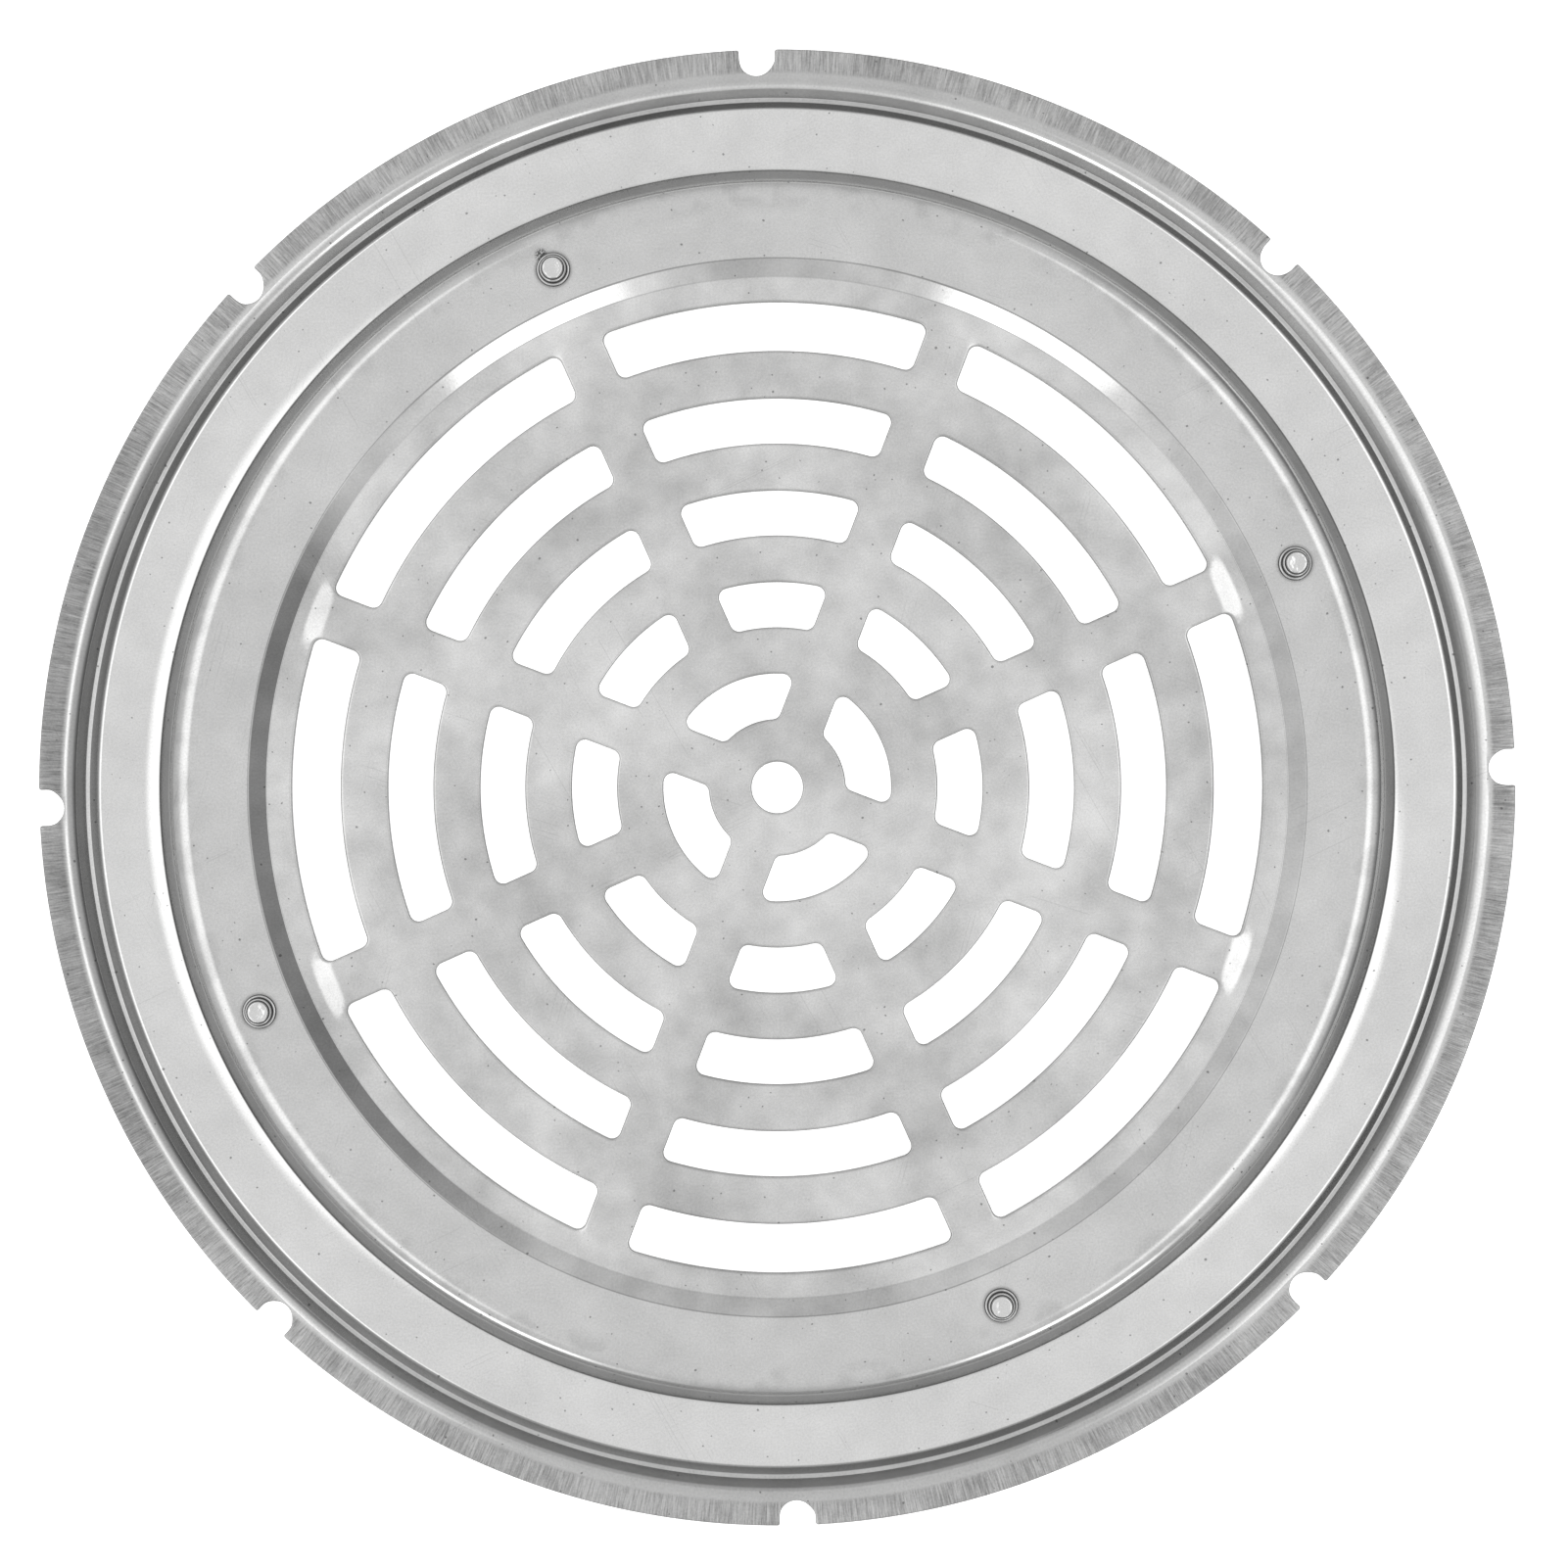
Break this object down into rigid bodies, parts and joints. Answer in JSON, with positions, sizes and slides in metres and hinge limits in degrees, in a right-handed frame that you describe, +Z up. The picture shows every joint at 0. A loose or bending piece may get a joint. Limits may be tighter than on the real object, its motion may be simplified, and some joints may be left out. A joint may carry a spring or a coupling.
{
  "type": "floor drain grate",
  "caption": "Round pressed-steel floor drain grate with rings of curved slots, a stepped centre, a channel inside a notched rim and sprung clips under it.",
  "frame": {"origin": "middle of the centre hole, in the slotted disc's top face", "axes": "+Z up along the centre hole's axis, out of the drain; +X through the middle of a rim notch"},
  "size_m": [0.2, 0.2, 0.0192],
  "materials": {
    "pressed_steel": "bright cold-rolled stainless sheet, with draw marks on the flange",
    "rivet_steel": "bright set rivet",
    "spring_steel": "satin spring strip"
  },
  "bodies": {
    "grate": {"grate_plate": "pressed_steel", "rivet_1": "rivet_steel", "rivet_2": "rivet_steel", "rivet_3": "rivet_steel", "rivet_4": "rivet_steel", "clip_foot_1": "spring_steel", "clip_foot_2": "spring_steel", "clip_foot_3": "spring_steel", "clip_foot_4": "spring_steel"},
    "leaf_1": {"clip_leaf_1": "spring_steel"},
    "leaf_2": {"clip_leaf_2": "spring_steel"},
    "leaf_3": {"clip_leaf_3": "spring_steel"},
    "leaf_4": {"clip_leaf_4": "spring_steel"}
  },
  "joints": [
    {"name": "clip_flex_1", "type": "hinge", "parent": "grate", "child": "leaf_1", "pos_m": [0.07384, 0.02953, -0.00023], "axis": [-0.3714, 0.9285, 0], "range_deg": [0, 6], "stiffness_Nm_per_rad": 2.8},
    {"name": "clip_flex_2", "type": "hinge", "parent": "grate", "child": "leaf_2", "pos_m": [-0.02953, 0.07384, -0.00023], "axis": [-0.9285, -0.3714, 0], "range_deg": [0, 6], "stiffness_Nm_per_rad": 2.8},
    {"name": "clip_flex_3", "type": "hinge", "parent": "grate", "child": "leaf_3", "pos_m": [-0.07384, -0.02953, -0.00023], "axis": [0.3714, -0.9285, 0], "range_deg": [0, 6], "stiffness_Nm_per_rad": 2.8},
    {"name": "clip_flex_4", "type": "hinge", "parent": "grate", "child": "leaf_4", "pos_m": [0.02953, -0.07384, -0.00023], "axis": [0.9285, 0.3714, 0], "range_deg": [0, 6], "stiffness_Nm_per_rad": 2.8}
  ]
}
